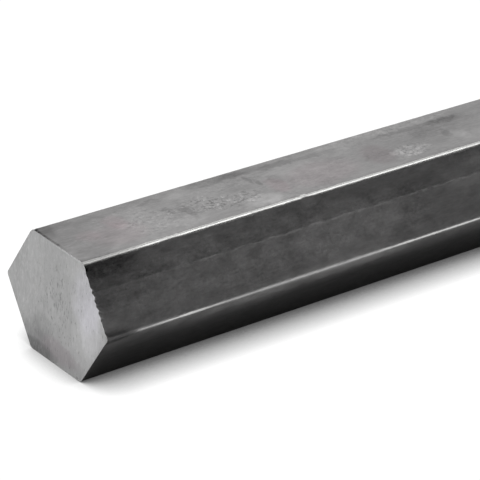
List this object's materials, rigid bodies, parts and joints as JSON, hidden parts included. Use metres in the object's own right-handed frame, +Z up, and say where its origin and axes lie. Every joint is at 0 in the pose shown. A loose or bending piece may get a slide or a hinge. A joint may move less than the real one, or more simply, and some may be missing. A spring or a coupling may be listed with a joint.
{
  "type": "hex bar stock",
  "caption": "Straight length of hot-rolled hexagonal steel bar with slightly rounded long corners and sawn ends, lying on one flat.",
  "frame": {"origin": "on the bottom flat, under the middle of the bar", "axes": "+X along the bar, from the sawn end that the picture shows to the square end; +Z up, out of the top flat; -Y towards the side that the picture shows"},
  "size_m": [1, 0.0572, 0.05],
  "materials": {
    "steel": "hot-rolled, dull grey with thin mill scale, sawn ends"
  },
  "bodies": {
    "root": {"hex_bar": "steel"}
  },
  "joints": []
}
